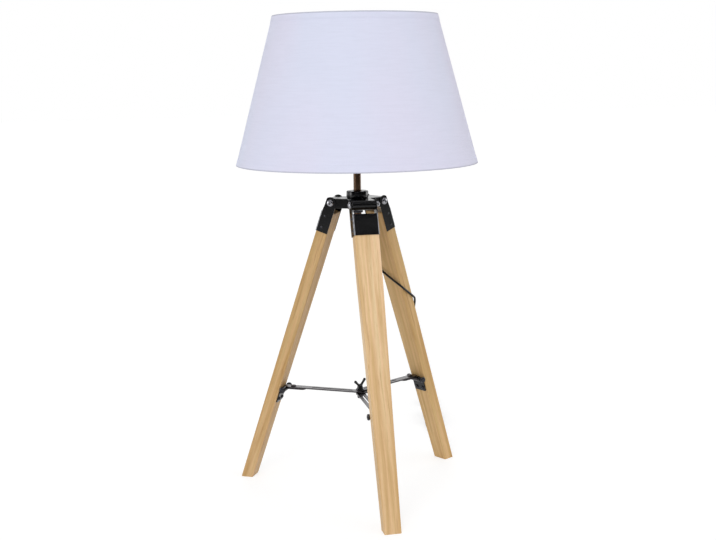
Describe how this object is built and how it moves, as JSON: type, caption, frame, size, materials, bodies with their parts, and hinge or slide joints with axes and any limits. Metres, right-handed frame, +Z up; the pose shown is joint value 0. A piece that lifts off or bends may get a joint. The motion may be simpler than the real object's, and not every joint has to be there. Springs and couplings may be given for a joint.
{
  "type": "tripod table lamp",
  "caption": "Table lamp on folding wooden tripod legs with a cast head, slotted spreader bars, tapered fabric shade, bulb and mains cord.",
  "frame": {"origin": "on the floor, under the middle of the box round the lamp without its cord", "axes": "+Z up, -Y towards the front leg, +X to the right seen from the front"},
  "size_m": [0.4132, 0.6165, 0.7015],
  "materials": {
    "wood": "satin clear lacquer on light beech",
    "black_metal": "semi-gloss black enamel",
    "dark_rod": "dark bronze plating",
    "dark_steel": "dark gunmetal",
    "nickel": "bright nickel plating",
    "black_plastic": "satin black",
    "white_plastic": "smooth white",
    "brass": "plain",
    "frosted_glass": "frosted",
    "fabric": "fine woven pale lavender-white fabric on a stiff backing",
    "wire": "white enamel",
    "cord": "satin black sheath"
  },
  "bodies": {
    "base": {"tripod_head": "black_metal", "head_collar": "black_metal", "lamp_rod": "dark_rod", "rod_washer": "nickel", "rod_locknut": "nickel", "cord_bushing": "black_plastic", "holder_cap": "black_plastic", "holder_shell": "black_plastic", "holder_insert": "white_plastic", "centre_contact": "brass", "shade_cover": "fabric", "shade_top_wire": "wire", "shade_bottom_wire": "wire", "shade_fitter": "wire", "cord_to_leg": "cord"},
    "leg_front_body": {"leg_front": "wood", "sleeve_front": "black_metal", "hinge_bolt_front": "black_metal", "hinge_nut_front": "black_metal", "bracket_front": "black_metal", "bracket_pin_front": "black_metal", "bracket_screw_front_a": "nickel", "bracket_screw_front_b": "nickel"},
    "strut_front_body": {"strut_link_front": "dark_steel", "strut_bar_front": "dark_steel"},
    "leg_right_body": {"leg_right": "wood", "sleeve_right": "black_metal", "hinge_bolt_right": "black_metal", "hinge_nut_right": "black_metal", "bracket_right": "black_metal", "bracket_pin_right": "black_metal", "bracket_screw_right_a": "nickel", "bracket_screw_right_b": "nickel", "cord_on_leg": "cord", "cord_hank": "cord", "cord_tail": "cord", "cord_tie": "black_plastic", "plug_body": "black_plastic", "plug_pin_left": "nickel", "plug_pin_right": "nickel"},
    "strut_right_body": {"strut_link_right": "dark_steel", "strut_bar_right": "dark_steel"},
    "leg_left_body": {"leg_left": "wood", "sleeve_left": "black_metal", "hinge_bolt_left": "black_metal", "hinge_nut_left": "black_metal", "bracket_left": "black_metal", "bracket_pin_left": "black_metal", "bracket_screw_left_a": "nickel", "bracket_screw_left_b": "nickel"},
    "strut_left_body": {"strut_link_left": "dark_steel", "strut_bar_left": "dark_steel"},
    "spreader_bolt_body": {"spreader_bolt": "dark_steel", "spreader_washer_low": "dark_steel", "spreader_washer_top": "dark_steel"},
    "wing_nut_body": {"wing_nut": "black_metal"},
    "shade_ring_body": {"shade_ring": "black_plastic"},
    "bulb_body": {"bulb_cap": "nickel", "bulb_glass": "frosted_glass"},
    "switch_body": {"switch_bar": "white_plastic"}
  },
  "joints": [
    {"name": "leg_front_fold", "type": "hinge", "parent": "base", "child": "leg_front_body", "pos_m": [0, -0.02661, 0.4343], "axis": [1, 0, 0], "range_deg": [0, 14]},
    {"name": "leg_right_fold", "type": "hinge", "parent": "base", "child": "leg_right_body", "pos_m": [0.03092, 0.02694, 0.4343], "axis": [-0.5, 0.866, 0], "range_deg": [0, 14], "deforming": ["cord_to_leg"]},
    {"name": "leg_left_fold", "type": "hinge", "parent": "base", "child": "leg_left_body", "pos_m": [-0.03092, 0.02694, 0.4343], "axis": [-0.5, -0.866, 0], "range_deg": [0, 14]},
    {"name": "strut_front_tilt", "type": "hinge", "parent": "leg_front_body", "child": "strut_front_body", "pos_m": [0, -0.11066, 0.14506], "axis": [1, 0, 0], "range_deg": [-14, 0]},
    {"name": "strut_right_tilt", "type": "hinge", "parent": "leg_right_body", "child": "strut_right_body", "pos_m": [0.10371, 0.06897, 0.14506], "axis": [-0.5, 0.866, 0], "range_deg": [-14, 0]},
    {"name": "strut_left_tilt", "type": "hinge", "parent": "leg_left_body", "child": "strut_left_body", "pos_m": [-0.10371, 0.06897, 0.14506], "axis": [-0.5, -0.866, 0], "range_deg": [-14, 0]},
    {"name": "spreader_slide", "type": "slide", "parent": "strut_front_body", "child": "spreader_bolt_body", "axis": [0, -1, 0], "range_m": [0, 0.0725]},
    {"name": "wing_nut_turn", "type": "hinge", "parent": "spreader_bolt_body", "child": "wing_nut_body", "pos_m": [0, 0.00909, 0.155], "axis": [0, 0, 1], "continuous": true},
    {"name": "shade_ring_turn", "type": "hinge", "parent": "base", "child": "shade_ring_body", "pos_m": [0, 0.00909, 0.526], "axis": [0, 0, 1], "continuous": true},
    {"name": "bulb_turn", "type": "hinge", "parent": "base", "child": "bulb_body", "pos_m": [0, 0.00909, 0.55], "axis": [0, 0, 1], "continuous": true},
    {"name": "switch_press", "type": "slide", "parent": "base", "child": "switch_body", "axis": [1, 0, 0], "range_m": [0, 0.006]}
  ],
  "couplings": [
    {"joint": "leg_right_fold", "follows": "leg_front_fold", "ratio": 1},
    {"joint": "leg_left_fold", "follows": "leg_front_fold", "ratio": 1},
    {"joint": "strut_front_tilt", "follows": "leg_front_fold", "ratio": -1},
    {"joint": "strut_right_tilt", "follows": "leg_front_fold", "ratio": -1},
    {"joint": "strut_left_tilt", "follows": "leg_front_fold", "ratio": -1},
    {"joint": "spreader_slide", "follows": "leg_front_fold", "m_per_rad": 0.296}
  ]
}
